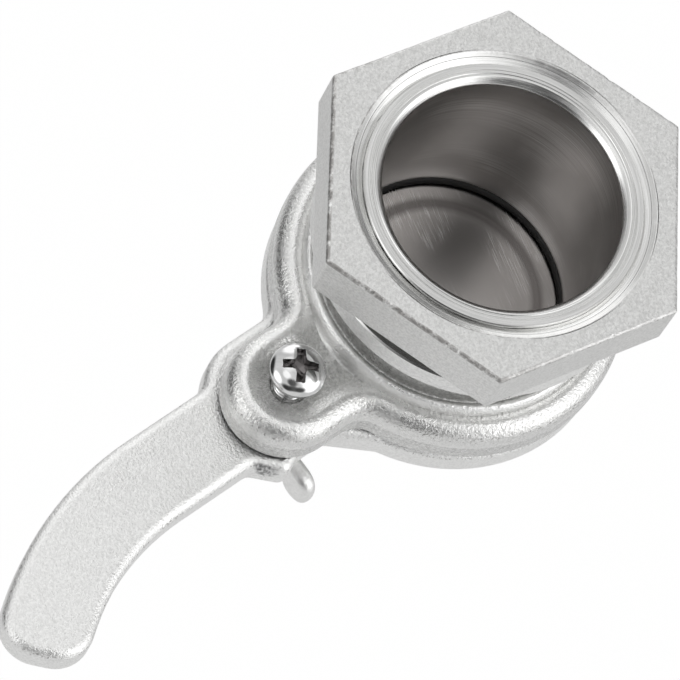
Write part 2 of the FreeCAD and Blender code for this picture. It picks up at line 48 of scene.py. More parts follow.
camera_data = bpy.data.cameras.new("camera")
camera_data.sensor_width = 36.0
camera_data.lens = 316.109
camera_data.clip_start = 0.05
camera_data.clip_end = 20.0
camera = bpy.data.objects.new("camera", camera_data)
bpy.context.scene.collection.objects.link(camera)
to_right = Vector((0.620339, 0.249247, -0.743677))
to_top = Vector((-0.763473, 0.409111, -0.499736))
to_viewer = Vector((0.179689, 0.877783, 0.444081))
turn = Matrix((to_right, to_top, to_viewer)).transposed()
camera.matrix_world = Matrix.Translation(Vector((168.3759, 813.3251, 442.9586)) * MM) @ turn.to_4x4()
bpy.context.scene.camera = camera


# The room is a tent of white cloth: level light from all round, with brighter and darker cards that the
# metal reflects. The floor is white paper, well under the valve, which hangs on a tank.

bpy.context.scene.view_settings.view_transform = "Standard"

FLOOR_SIZE = 3.0
FLOOR_HEIGHT = -0.14
GLOW_SHARE = 0.9
GLOW_LEVEL = 1.04

floor_mesh = bpy.data.meshes.new("floor")
half_floor = FLOOR_SIZE / 2.0
floor_mesh.from_pydata([(-half_floor, -half_floor, FLOOR_HEIGHT), (half_floor, -half_floor, FLOOR_HEIGHT),
                        (half_floor, half_floor, FLOOR_HEIGHT), (-half_floor, half_floor, FLOOR_HEIGHT)],
                       [], [(0, 1, 2, 3)])
floor = bpy.data.objects.new("floor", floor_mesh)
bpy.context.scene.collection.objects.link(floor)
paper = bpy.data.materials.new("white_paper")
paper.use_nodes = True
paper_tree = paper.node_tree
paper_shader = paper_tree.nodes["Principled BSDF"]
paper_shader.inputs["Base Color"].default_value = (0.9, 0.9, 0.9, 1.0)
paper_shader.inputs["Roughness"].default_value = 0.9
paper_glow = paper_tree.nodes.new("ShaderNodeEmission")
paper_glow.inputs["Strength"].default_value = GLOW_LEVEL
paper_rays = paper_tree.nodes.new("ShaderNodeLightPath")
paper_share = paper_tree.nodes.new("ShaderNodeMath")
paper_share.operation = "MULTIPLY"
paper_share.inputs[1].default_value = GLOW_SHARE
paper_mix = paper_tree.nodes.new("ShaderNodeMixShader")
paper_tree.links.new(paper_rays.outputs["Is Camera Ray"], paper_share.inputs[0])
paper_tree.links.new(paper_share.outputs["Value"], paper_mix.inputs["Fac"])
paper_tree.links.new(paper_shader.outputs["BSDF"], paper_mix.inputs[1])
paper_tree.links.new(paper_glow.outputs["Emission"], paper_mix.inputs[2])
# Reflections in the metal look past the paper to the tent
paper_clear = paper_tree.nodes.new("ShaderNodeBsdfTransparent")
paper_seen = paper_tree.nodes.new("ShaderNodeMixShader")
paper_tree.links.new(paper_rays.outputs["Is Glossy Ray"], paper_seen.inputs["Fac"])
paper_tree.links.new(paper_mix.outputs["Shader"], paper_seen.inputs[1])
paper_tree.links.new(paper_clear.outputs["BSDF"], paper_seen.inputs[2])
paper_tree.links.new(paper_seen.outputs["Shader"], paper_tree.nodes["Material Output"].inputs["Surface"])
floor_mesh.materials.append(paper)

TENT_LEVEL = 0.92
# Each card: its direction from the valve, the angles in degrees inside which it is full and outside which
# it ends, and its level
CARDS = (
    ((-0.45, 0.87, -0.10), 8.0, 22.0, 1.50),
    ((0.46, 0.88, -0.13), 8.0, 20.0, 1.60),
    ((-0.20, 0.90, 0.39), 7.0, 16.0, 1.60),
    ((-0.41, 0.30, 0.86), 13.0, 25.0, 2.20),
    ((0.83, 0.46, -0.30), 21.0, 37.0, 2.20),
    ((0.28, 0.83, 0.48), 9.0, 19.0, 0.12),
    ((0.58, 0.48, 0.65), 9.0, 22.0, 0.12),
    ((0.34, 0.30, 0.89), 9.0, 24.0, 0.06),
    ((0.81, 0.46, 0.36), 8.0, 20.0, 0.08),
    ((-0.72, 0.24, -0.65), 16.0, 30.0, 1.80),
    ((-0.88, -0.22, 0.42), 18.0, 32.0, 0.04),
    ((-0.10, 0.06, -0.99), 12.0, 30.0, 0.34),
)

world = bpy.data.worlds.new("tent")
world.use_nodes = True
bpy.context.scene.world = world
world_tree = world.node_tree
world_tree.nodes.clear()
world_out = world_tree.nodes.new("ShaderNodeOutputWorld")
backdrop = world_tree.nodes.new("ShaderNodeBackground")
backdrop.inputs["Color"].default_value = (1.0, 1.0, 1.0, 1.0)
cloth = world_tree.nodes.new("ShaderNodeBackground")
world_place = world_tree.nodes.new("ShaderNodeTexCoord")
level = None
for direction, full, end, brightness in CARDS:
    towards = world_tree.nodes.new("ShaderNodeVectorMath")
    towards.operation = "DOT_PRODUCT"
    towards.inputs[1].default_value = Vector(direction).normalized()
    world_tree.links.new(world_place.outputs["Generated"], towards.inputs[0])
    inside = world_tree.nodes.new("ShaderNodeMapRange")
    inside.interpolation_type = "SMOOTHSTEP"
    inside.inputs["From Min"].default_value = math.cos(math.radians(end))
    inside.inputs["From Max"].default_value = math.cos(math.radians(full))
    world_tree.links.new(towards.outputs["Value"], inside.inputs["Value"])
    card = world_tree.nodes.new("ShaderNodeMix")
    card.inputs["B"].default_value = brightness
    world_tree.links.new(inside.outputs["Result"], card.inputs["Factor"])
    if level is None:
        card.inputs["A"].default_value = TENT_LEVEL
    else:
        world_tree.links.new(level, card.inputs["A"])
    level = card.outputs["Result"]
world_tree.links.new(level, cloth.inputs["Strength"])
world_rays = world_tree.nodes.new("ShaderNodeLightPath")
world_mix = world_tree.nodes.new("ShaderNodeMixShader")
world_tree.links.new(world_rays.outputs["Is Camera Ray"], world_mix.inputs["Fac"])
world_tree.links.new(cloth.outputs["Background"], world_mix.inputs[1])
world_tree.links.new(backdrop.outputs["Background"], world_mix.inputs[2])
world_tree.links.new(world_mix.outputs["Shader"], world_out.inputs["Surface"])


# The body's raw casting: flange and pivot ear as one flowing surface, neck and bead turned, and the keeper
# from the CAD solid. Investment-cast stainless steel, blasted with glass beads: a fine dull grain, rubbed
# bright along its rims, where the crests also carry a painted highlight, and a painted shade along the
# lowest edge where the ear meets the lever.

def new_group(name, inputs, outputs):
    """A shader node group with named sockets, its input node and its output node."""
    group = bpy.data.node_groups.new(name, "ShaderNodeTree")
    for socket, kind, value in inputs:
        made = group.interface.new_socket(socket, in_out="INPUT", socket_type=kind)
        if value is not None:
            made.default_value = value
    for socket, kind in outputs:
        group.interface.new_socket(socket, in_out="OUTPUT", socket_type=kind)
    return group, group.nodes.new("NodeGroupInput"), group.nodes.new("NodeGroupOutput")


def add_node(tree, kind, settings=(), **values):
    """A node with its settings (attribute and value pairs) and the values of its named inputs."""
    node = tree.nodes.new(kind)
    for attribute, value in settings:
        setattr(node, attribute, value)
    for socket, value in values.items():
        node.inputs[socket.replace("_", " ")].default_value = value
    return node


def blasted_grain():
    """Pits of about half a millimetre as a height, and mottling over some millimetres as a patch."""
    group, given, result = new_group(
        "blasted_grain",
        [("Vector", "NodeSocketVector", None), ("Grain", "NodeSocketFloat", 3000.0),
         ("Mottle", "NodeSocketFloat", 160.0)],
        [("Height", "NodeSocketFloat"), ("Patch", "NodeSocketFloat")])
    grain = add_node(group, "ShaderNodeTexNoise", Detail=3.0, Roughness=0.65)
    patch = add_node(group, "ShaderNodeTexNoise", Detail=4.0)
    group.links.new(given.outputs["Vector"], grain.inputs["Vector"])
    group.links.new(given.outputs["Grain"], grain.inputs["Scale"])
    group.links.new(given.outputs["Vector"], patch.inputs["Vector"])
    group.links.new(given.outputs["Mottle"], patch.inputs["Scale"])
    group.links.new(grain.outputs["Fac"], result.inputs["Height"])
    group.links.new(patch.outputs["Fac"], result.inputs["Patch"])
    return group


def worn_and_glinting_rim():
    """Rubbed specks where a surface turns away from the flat faces, the bright ones also painted glints: one
    mask for bright, one for dark.
    """
    group, given, result = new_group(
        "worn_and_glinting_rim",
        [("Vector", "NodeSocketVector", None), ("Speck", "NodeSocketFloat", 2600.0)],
        [("Bright", "NodeSocketFloat"), ("Dark", "NodeSocketFloat")])
    surface = group.nodes.new("ShaderNodeNewGeometry")
    facing = group.nodes.new("ShaderNodeSeparateXYZ")
    group.links.new(surface.outputs["Normal"], facing.inputs["Vector"])
    level_part = add_node(group, "ShaderNodeMath", [("operation", "ABSOLUTE")])
    group.links.new(facing.outputs["Y"], level_part.inputs[0])
    speck = add_node(group, "ShaderNodeTexNoise", Detail=2.0, Roughness=0.7)
    group.links.new(given.outputs["Vector"], speck.inputs["Vector"])
    group.links.new(given.outputs["Speck"], speck.inputs["Scale"])
    for output, low, crest, high, rare, full in (("Bright", 0.55, 0.80, 0.97, 0.52, 0.66),
                                                 ("Dark", 0.10, 0.45, 0.80, 0.56, 0.68)):
        rising = add_node(group, "ShaderNodeMapRange", [("interpolation_type", "SMOOTHSTEP")],
                          From_Min=low, From_Max=crest)
        falling = add_node(group, "ShaderNodeMapRange", [("interpolation_type", "SMOOTHSTEP")],
                           From_Min=high, From_Max=crest)
        grains = add_node(group, "ShaderNodeMapRange", From_Min=rare, From_Max=full)
        band = add_node(group, "ShaderNodeMath", [("operation", "MULTIPLY")])
        mask = add_node(group, "ShaderNodeMath", [("operation", "MULTIPLY")])
        group.links.new(level_part.outputs["Value"], rising.inputs["Value"])
        group.links.new(level_part.outputs["Value"], falling.inputs["Value"])
        group.links.new(speck.outputs["Fac"], grains.inputs["Value"])
        group.links.new(rising.outputs["Result"], band.inputs[0])
        group.links.new(falling.outputs["Result"], band.inputs[1])
        group.links.new(band.outputs["Value"], mask.inputs[0])
        group.links.new(grains.outputs["Result"], mask.inputs[1])
        group.links.new(mask.outputs["Value"], result.inputs[output])
    return group


grain_group = blasted_grain()
rim_group = worn_and_glinting_rim()


def new_material(name, metallic):
    """A material, its node tree, its shader, and the node that gives each point's place."""
    material = bpy.data.materials.new(name)
    material.use_nodes = True
    tree = material.node_tree
    shader = tree.nodes["Principled BSDF"]
    shader.inputs["Metallic"].default_value = metallic
    return material, tree, shader, tree.nodes.new("ShaderNodeTexCoord")


# Painted shade for the gap where the ear meets the lever
GAP_SHADE_COLOUR = (0.05, 0.05, 0.05, 1.0)
DARK_SPECKS = (0.22, 0.21, 0.20, 1.0)
BRIGHT_SPECKS = (0.97, 0.97, 0.96, 1.0)
# Painted highlight colour for the crests, partly rubbed wear too
RUBBED_AND_HIGHLIGHT = (0.93, 0.93, 0.92, 1.0)
NICK_SHADOW = (0.36, 0.35, 0.34, 1.0)


def blasted_steel(name, dark, light, roughness, grain_size, bump, wear_and_light):
    """Bead-blasted steel: mottled between two colours, grained by bumps, and speckled along its rims with
    rubbed wear and painted glints.
    """
    material, tree, shader, place = new_material(name, 1.0)
    grain = add_node(tree, "ShaderNodeGroup", [("node_tree", grain_group)])
    grain.inputs["Grain"].default_value = grain_size
    rim = add_node(tree, "ShaderNodeGroup", [("node_tree", rim_group)])
    tree.links.new(place.outputs["Object"], grain.inputs["Vector"])
    tree.links.new(place.outputs["Object"], rim.inputs["Vector"])
    sparkle = add_node(tree, "ShaderNodeMapRange", From_Min=0.36, From_Max=0.64)
    tree.links.new(grain.outputs["Height"], sparkle.inputs["Value"])
    blend = add_node(tree, "ShaderNodeMix")
    blend.inputs["Factor"].default_value = 0.7
    tree.links.new(grain.outputs["Patch"], blend.inputs["A"])
    tree.links.new(sparkle.outputs["Result"], blend.inputs["B"])
    mottled = add_node(tree, "ShaderNodeMix", [("data_type", "RGBA")])
    mottled.inputs["A"].default_value = (*dark, 1.0)
    mottled.inputs["B"].default_value = (*light, 1.0)
    tree.links.new(blend.outputs["Result"], mottled.inputs["Factor"])
    darkened = add_node(tree, "ShaderNodeMix", [("data_type", "RGBA")])
    darkened.inputs["B"].default_value = DARK_SPECKS
    brightened = add_node(tree, "ShaderNodeMix", [("data_type", "RGBA")])
    brightened.inputs["B"].default_value = BRIGHT_SPECKS
    # The bright specks are painted glints as well as rubbed wear
    for mask, mixer in (("Dark", darkened), ("Bright", brightened)):
        amount = add_node(tree, "ShaderNodeMath", [("operation", "MULTIPLY")])
        amount.inputs[1].default_value = wear_and_light
        tree.links.new(rim.outputs[mask], amount.inputs[0])
        tree.links.new(amount.outputs["Value"], mixer.inputs["Factor"])
    # Painted highlight on the crests, partly rubbed wear too: the vertex value lightens the colour
    rubbed_and_highlit = add_node(tree, "ShaderNodeAttribute", [("attribute_name", "rubbed_and_highlit")])
    crest_highlighted = add_node(tree, "ShaderNodeMix", [("data_type", "RGBA")])
    crest_highlighted.inputs["B"].default_value = RUBBED_AND_HIGHLIGHT
    tree.links.new(rubbed_and_highlit.outputs["Fac"], crest_highlighted.inputs["Factor"])
    tree.links.new(mottled.outputs["Result"], crest_highlighted.inputs["A"])
    tree.links.new(crest_highlighted.outputs["Result"], darkened.inputs["A"])
    tree.links.new(darkened.outputs["Result"], brightened.inputs["A"])
    edge = add_node(tree, "ShaderNodeAttribute", [("attribute_name", "worn_edge")])
    nicks = add_node(tree, "ShaderNodeTexNoise", Scale=700.0, Detail=4.0, Roughness=0.75)
    tree.links.new(place.outputs["Object"], nicks.inputs["Vector"])
    nick_shade = add_node(tree, "ShaderNodeMapRange", From_Min=0.46, From_Max=0.68)
    tree.links.new(nicks.outputs["Fac"], nick_shade.inputs["Value"])
    nicked = add_node(tree, "ShaderNodeMix", [("data_type", "RGBA")])
    nicked.inputs["A"].default_value = NICK_SHADOW
    nicked.inputs["B"].default_value = BRIGHT_SPECKS
    tree.links.new(nick_shade.outputs["Result"], nicked.inputs["Factor"])
    edged = add_node(tree, "ShaderNodeMix", [("data_type", "RGBA")])
    tree.links.new(edge.outputs["Fac"], edged.inputs["Factor"])
    tree.links.new(brightened.outputs["Result"], edged.inputs["A"])
    tree.links.new(nicked.outputs["Result"], edged.inputs["B"])
    # Painted shade along the lowest edge, in the gap between the ear and the lever
    gap_shadow_mask = add_node(tree, "ShaderNodeAttribute", [("attribute_name", "gap_shadow_mask")])
    gap_shadowed = add_node(tree, "ShaderNodeMix", [("data_type", "RGBA")])
    gap_shadowed.inputs["B"].default_value = GAP_SHADE_COLOUR
    tree.links.new(gap_shadow_mask.outputs["Fac"], gap_shadowed.inputs["Factor"])
    tree.links.new(edged.outputs["Result"], gap_shadowed.inputs["A"])
    tree.links.new(gap_shadowed.outputs["Result"], shader.inputs["Base Color"])
    rough = add_node(tree, "ShaderNodeMapRange", From_Min=0.3, From_Max=0.7,
                     To_Min=roughness - 0.06, To_Max=roughness + 0.08)
    tree.links.new(grain.outputs["Patch"], rough.inputs["Value"])
    tree.links.new(rough.outputs["Result"], shader.inputs["Roughness"])
    bumps = add_node(tree, "ShaderNodeBump", Strength=bump, Distance=0.0003)
    tree.links.new(grain.outputs["Height"], bumps.inputs["Height"])
    tree.links.new(bumps.outputs["Normal"], shader.inputs["Normal"])
    return material


def cad_copy(node, unwanted):
    """The CAD node's mesh with its vertices merged, less the triangles whose corners pass a test."""
    shape = bmesh.new()
    shape.from_mesh(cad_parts[node].data)
    bmesh.ops.remove_doubles(shape, verts=shape.verts, dist=1e-6)
    gone = [face for face in shape.faces if unwanted(np.array([corner.co for corner in face.verts]))]
    bmesh.ops.delete(shape, geom=gone, context="FACES")
    mesh = bpy.data.meshes.new(f"{node}_copy")
    shape.to_mesh(mesh)
    shape.free()
    if "custom_normal" in mesh.attributes:
        mesh.attributes.remove(mesh.attributes["custom_normal"])
    return mesh


def place_piece(name, mesh, material, body, *nodes, crease=35.0):
    """Shows a mesh as a piece that rides on a CAD body in place of CAD nodes, with creases past an angle."""
    mesh.materials.clear()
    mesh.materials.append(material)
    mesh.shade_smooth()
    mesh.set_sharp_from_angle(angle=math.radians(crease))
    piece = bpy.data.objects.new(name, mesh)
    bpy.context.scene.collection.objects.link(piece)
    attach(piece, body)
    if nodes:
        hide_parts(*nodes)
    return piece


def even_shading(piece):
    """Keeps the large flat faces of a CAD mesh flat: normals are weighed by the area of the faces."""
    even = piece.modifiers.new("even_shading", "WEIGHTED_NORMAL")
    even.keep_sharp = True
    even.weight = 100


def grid_mesh(name, points, closed=False):
    """A mesh from rows of points in millimetres; every row is a loop. A row of equal points becomes one
    vertex at a pole, and a closed grid joins its last row to its first. The outside is where the way along a
    row, crossed with the way from row to row, points."""
    rows, steps = points.shape[:2]
    index = np.arange(rows * steps).reshape(rows, steps)
    for row in range(rows):
        if np.ptp(points[row], axis=0).max() < 1e-9:
            index[row] = index[row, 0]
    near = index if closed else index[:-1]
    far = np.vstack([index[1:], index[:1]]) if closed else index[1:]
    quads = np.stack([near, np.roll(near, -1, axis=1), np.roll(far, -1, axis=1), far], axis=2)
    used, compact = np.unique(index, return_inverse=True)
    quads = compact.reshape(rows, steps)[quads // steps, quads % steps].reshape(-1, 4).tolist()
    faces = [list(dict.fromkeys(corners)) for corners in quads]
    mesh = bpy.data.meshes.new(name)
    mesh.from_pydata((points.reshape(-1, 3)[used] * MM).tolist(), [], faces)
    return mesh


def ring_angles(steps, start=0.0):
    """Equal angles once round, in radians from +Z towards +X, from a start in degrees."""
    return np.arange(steps) * (2.0 * math.pi / steps) + math.radians(start)


def ring_grid(name, radius, height, centre=(0.0, 0.0), closed=False, start=0.0):
    """Rings about an axis along Y: each row of the two arrays is one ring, its radius and height at the
    ring's angles. The outside lies to the right of the rows' way, with radius to the right and height up."""
    angle = ring_angles(radius.shape[1], start)
    across = centre[0] + radius * np.sin(angle)
    points = np.stack([across, height, centre[1] + radius * np.cos(angle)], axis=2)
    return grid_mesh(name, points, closed)


def even_rings(profile, steps, base=0.0):
    """The radii and the heights, over a base, of rings that are the same all round."""
    profile = np.array(profile, float)
    return np.repeat(profile[:, :1], steps, axis=1), base + np.repeat(profile[:, 1:], steps, axis=1)


def turned(name, profile, steps, centre=(0.0, 0.0), closed=False):
    """A turned surface from a profile of (radius, height) points in millimetres."""
    radius, height = even_rings(profile, steps)
    return ring_grid(name, radius, height, centre, closed)


def rounded(points, passes, closed=False):
    """Cuts the corners of a polyline at a quarter of each leg, as often as asked; open ends stay."""
    points = np.array(points, float)
    for _ in range(passes):
        follower = np.roll(points, -1, axis=0) if closed else points[1:]
        first = points if closed else points[:-1]
        cut = np.stack([0.75 * first + 0.25 * follower, 0.25 * first + 0.75 * follower], axis=1)
        cut = cut.reshape(-1, 2)
        points = cut if closed else np.vstack([points[:1], cut[1:-1], points[-1:]])
    return points


FLANGE_RADIUS = 29.3
EAR_RADIUS = 10.0
EAR_HEIGHT = 35.2
FAIRING_RADIUS = 4.5
OUTLET_FACE = -22.6
FLANGE_MIDDLE = -19.0
TUBE_WALL = 21.3
SEAL_WALL = 23.05
SEAT_RADIUS = 26.8
WEB = -16.5
HOLE_MOUTH = 3.2
HOLE_EDGE = 0.3
HOLE_SINK = 0.9
EAR_STEPS = 60
CHEEK_STEPS = 12
FAIRING_STEPS = 28
FLANGE_STEPS = 300
NECK_STEPS = 360


def arc(centre_x, centre_z, radius, start, end, count):
    """Points on a circle, angles in degrees from +Z towards +X, without the last one."""
    angle = np.radians(np.linspace(start, end, count, endpoint=False))
    return np.column_stack([centre_x + radius * np.sin(angle), centre_z + radius * np.cos(angle)])


def flange_loop(inset, wall):
    """The outline of flange and ear, shrunk by an inset but not into a wall around the tube's axis: ear,
    cheek, fairing, flange, and back to the ear."""
    ear = max(EAR_RADIUS - inset, 0.0)
    side = EAR_RADIUS + FAIRING_RADIUS
    root = math.sqrt((FLANGE_RADIUS + FAIRING_RADIUS) ** 2 - side ** 2)
    lean = math.degrees(math.atan2(side, root))
    fairing = FAIRING_RADIUS + inset
    down = np.linspace(EAR_HEIGHT, root, CHEEK_STEPS, endpoint=False)
    up = np.linspace(root, EAR_HEIGHT, CHEEK_STEPS, endpoint=False)
    loop = np.vstack([
        arc(0.0, EAR_HEIGHT, ear, 0.0, 90.0, EAR_STEPS),
        np.column_stack([np.full(CHEEK_STEPS, ear), down]),
        arc(side, root, fairing, 270.0, 180.0 + lean, FAIRING_STEPS),
        arc(0.0, 0.0, FLANGE_RADIUS - inset, lean, 360.0 - lean, FLANGE_STEPS),
        arc(-side, root, fairing, 180.0 - lean, 90.0, FAIRING_STEPS),
        np.column_stack([np.full(CHEEK_STEPS, -ear), up]),
        arc(0.0, EAR_HEIGHT, ear, 270.0, 360.0, EAR_STEPS),
    ])
    reach = np.hypot(loop[:, 0], loop[:, 1])
    return loop * np.maximum(1.0, wall / np.maximum(reach, 1.0))[:, None]


def set_values(mesh, name, values):
    """Stores one value for each vertex, for a material to read by name."""
    mesh.attributes.new(name, "FLOAT", "POINT").data.foreach_set("value", values)


def flange_and_ear():
    """Loops that climb the side, roll over the rim's crest and sink to the web, with a mouth at the screw."""
    section = rounded([(EAR_RADIUS, OUTLET_FACE), (0.7, OUTLET_FACE), (0.1, -22.35), (0.0, -21.8),
                       (0.0, -18.7), (0.25, -17.0), (1.0, -15.8), (2.3, -15.05), (3.3, -15.0),
                       (4.3, -15.6), (5.4, -16.15), (7.2, -16.45), (8.4, WEB), (EAR_RADIUS, WEB)], 3)
    rows = []
    for inset, height in section:
        loop = flange_loop(inset, SEAL_WALL if height < FLANGE_MIDDLE else TUBE_WALL)
        reach = np.hypot(loop[:, 0], loop[:, 1] - EAR_HEIGHT)
        sunk = HOLE_SINK * np.clip((HOLE_MOUTH - reach) / HOLE_EDGE, 0.0, 1.0)
        rows.append(np.column_stack([loop[:, 0], height - sunk, loop[:, 1]]))
    mesh = grid_mesh("flange_and_ear", np.array(rows))
    # The rim's crest and outer side get a painted highlight, partly rubbed wear too
    crest = np.interp(section[:, 0], (0.0, 0.8, 1.6, 2.4, 3.6, 4.6, 6.0),
                      (0.5, 0.3, 0.2, 0.95, 0.95, 0.4, 0.0))
    crest = crest * (section[:, 1] > FLANGE_MIDDLE)
    set_values(mesh, "rubbed_and_highlit", np.repeat(crest, len(loop)))
    # Painted shade on the lowest rows, where the ear meets the lever
    set_values(mesh, "gap_shadow_mask", np.repeat(np.interp(section[:, 1], (-22.4, -22.1), (1.0, 0.0)), len(loop)))
    return mesh


def is_replaced(corners):
    """Triangles other than the keeper's, which finer surfaces replace."""
    reach = np.hypot(corners[:, 0], corners[:, 2])
    level = np.ptp(corners[:, 1]) < 0.01 * MM and abs(corners[0, 1] - OUTLET_FACE * MM) < 0.01 * MM
    above = corners[:, 1].max() > (OUTLET_FACE + 0.05) * MM
    return level or (above and (reach.max() < (FLANGE_RADIUS + 0.05) * MM or corners[:, 2].min() > 0.0))


cast_steel = blasted_steel("cast_steel", (0.50, 0.50, 0.49), (0.84, 0.84, 0.83), 0.25, 1900.0, 0.60, 1.0)
keeper = place_piece("keeper", cad_copy("valve_body", is_replaced), cast_steel, "body",
                     "valve_body", crease=40.0)
even_shading(keeper)
place_piece("flange_and_ear", flange_and_ear(), cast_steel, "body", "valve_body", crease=60.0)

# From under the web up over the bead, down into the neck and out to the seat's back
neck_line = rounded([(27.6, -16.57), (26.2, -16.57), (25.75, -16.45), (25.5, -16.1), (25.3, -15.4),
                     (25.2, -14.6), (24.9, -13.7), (24.4, -13.3), (23.9, -13.6), (23.5, -14.2),
                     (23.1, -14.0), (22.9, -13.0), (22.9, -8.5), (23.0, -6.6), (24.6, -4.9),
                     (26.5, -4.6), (SEAT_RADIUS, -4.1)], 3)
neck_mesh = turned("casting_neck", neck_line, NECK_STEPS)
# The bead's crest gets a painted highlight, partly rubbed wear too
bead_highlight = np.interp(neck_line[:, 0], (24.0, 24.3, 25.1, 25.3, 25.6), (0.0, 1.0, 1.0, 0.6, 0.4))
bead_highlight = bead_highlight * (neck_line[:, 1] < -13.0)
set_values(neck_mesh, "rubbed_and_highlit", np.repeat(bead_highlight, NECK_STEPS))
# A slightly darker copy of the cast steel: painted shade for the neck's valley under the seat
shaded_neck_steel = blasted_steel("shaded_neck_steel", (0.48, 0.48, 0.47), (0.80, 0.80, 0.79), 0.30, 1900.0, 0.75, 0.0)
place_piece("casting_neck", neck_mesh, shaded_neck_steel, "body", "valve_body", crease=60.0)


# The body's machined surfaces: seat, thread, end ring, mouth and bore. Bare turned steel with the tool's
# fine circles; the bore is darker and keeps streaks along its turning, and the thread carries painted shade.

THREAD_PITCH = 2.309
THREAD_CREST = 23.9
THREAD_ROOT = 22.65
THREAD_END = 12.6
BORE_RADIUS = 19.5


def thread_radius(height, angle, crest, root, pitch):
    """A right-hand thread: between crest and root the radius follows a wave rounded at both ends."""
    phase = 2.0 * math.pi * height / pitch - angle
    wave = 0.5 + 0.5 * np.cos(phase)
    return root + (crest - root) * wave * wave * (3.0 - 2.0 * wave)


def turned_tube():
    """Seat side, seat, thread, end ring with its grooves, mouth and bore as one grid of rings."""
    steps = 360
    seat = [(SEAT_RADIUS, -4.1), (SEAT_RADIUS, -0.25), (26.55, 0.0), (22.9, 0.0), (THREAD_ROOT, 0.1)]
    slit_mouth = (22.84, 12.9)
    slit_floor = (22.82, 12.2)
    end = [(THREAD_CREST, 12.9), (THREAD_CREST, 13.5), slit_mouth, slit_floor, (22.7, 12.2), (22.7, 13.42),
           (22.55, 13.6), (21.64, 13.6), (21.54, 13.46), (21.42, 13.47), (21.34, 13.6), (21.08, 13.6),
           (20.98, 13.5), (20.84, 13.52), (20.76, 13.6), (20.56, 13.6), (20.5, 13.57), (19.62, 12.76),
           (BORE_RADIUS, 12.5), (BORE_RADIUS, 4.0), (BORE_RADIUS, -6.0), (BORE_RADIUS, -14.0),
           (BORE_RADIUS, -21.15), (19.55, -21.2), (SEAL_WALL, -21.2), (SEAL_WALL, -22.62)]
    angle = ring_angles(steps)
    height = np.arange(0.3, THREAD_END, 0.14)[:, None] + np.zeros(steps)
    radius = thread_radius(height, angle, THREAD_CREST, THREAD_ROOT, THREAD_PITCH)
    radius = np.minimum(radius, THREAD_ROOT + 1.2 * np.maximum(0.0, height - 0.9))
    # The slit round the end ring opens only in places, on the side of the pivot
    slit = np.interp(np.arange(steps), np.arange(0, steps + 6, 6), np.random.default_rng(5).random(61))
    slit = np.clip(slit * 2.0 - 0.5, 0.0, 1.0) * np.clip(np.cos(angle + 0.35) * 1.6 + 0.1, 0.0, 1.0)
    # The last turn stays full, where the nut's mouth meets it
    radius = np.maximum(radius, THREAD_CREST - 2.2 * np.maximum(0.0, 12.55 - height))
    seat_radius, seat_height = even_rings(seat, steps)
    end_radius, end_height = even_rings(end, steps)
    for row in (end.index(slit_mouth), end.index(slit_floor)):
        end_radius[row] = end_radius[row] - 0.11 * (1.0 - slit)
    return ring_grid("turned_tube", np.vstack([seat_radius, radius, end_radius]),
                     np.vstack([seat_height, height, end_height]))


def turning_marks():
    """Fine circles about the Y axis: a height and a shade that change with the radius or with the height."""
    group, given, result = new_group(
        "turning_marks",
        [("Vector", "NodeSocketVector", None), ("Across", "NodeSocketFloat", 3500.0),
         ("Along", "NodeSocketFloat", 3500.0), ("Round", "NodeSocketFloat", 40.0)],
        [("Height", "NodeSocketFloat"), ("Shade", "NodeSocketFloat")])
    parts = group.nodes.new("ShaderNodeSeparateXYZ")
    group.links.new(given.outputs["Vector"], parts.inputs["Vector"])
    flat = group.nodes.new("ShaderNodeCombineXYZ")
    group.links.new(parts.outputs["X"], flat.inputs["X"])
    group.links.new(parts.outputs["Z"], flat.inputs["Z"])
    reach = add_node(group, "ShaderNodeVectorMath", [("operation", "LENGTH")])
    group.links.new(flat.outputs["Vector"], reach.inputs[0])
    across = add_node(group, "ShaderNodeMath", [("operation", "MULTIPLY")])
    along = add_node(group, "ShaderNodeMath", [("operation", "MULTIPLY")])
    depth = add_node(group, "ShaderNodeMath", [("operation", "ADD")])
    group.links.new(reach.outputs["Value"], across.inputs[0])
    group.links.new(given.outputs["Across"], across.inputs[1])
    group.links.new(parts.outputs["Y"], along.inputs[0])
    group.links.new(given.outputs["Along"], along.inputs[1])
    group.links.new(across.outputs["Value"], depth.inputs[0])
    group.links.new(along.outputs["Value"], depth.inputs[1])
    slow_x = add_node(group, "ShaderNodeMath", [("operation", "MULTIPLY")])
    slow_z = add_node(group, "ShaderNodeMath", [("operation", "MULTIPLY")])
    group.links.new(parts.outputs["X"], slow_x.inputs[0])
    group.links.new(given.outputs["Round"], slow_x.inputs[1])
    group.links.new(parts.outputs["Z"], slow_z.inputs[0])
    group.links.new(given.outputs["Round"], slow_z.inputs[1])
    stretched = group.nodes.new("ShaderNodeCombineXYZ")
    group.links.new(slow_x.outputs["Value"], stretched.inputs["X"])
    group.links.new(depth.outputs["Value"], stretched.inputs["Y"])
    group.links.new(slow_z.outputs["Value"], stretched.inputs["Z"])
    marks = add_node(group, "ShaderNodeTexNoise", Scale=1.0, Detail=4.0, Roughness=0.7)
    group.links.new(stretched.outputs["Vector"], marks.inputs["Vector"])
    shade = add_node(group, "ShaderNodeMapRange", From_Min=0.35, From_Max=0.7)
    group.links.new(marks.outputs["Fac"], shade.inputs["Value"])
    group.links.new(marks.outputs["Fac"], result.inputs["Height"])
    group.links.new(shade.outputs["Result"], result.inputs["Shade"])
    return group


marks_group = turning_marks()


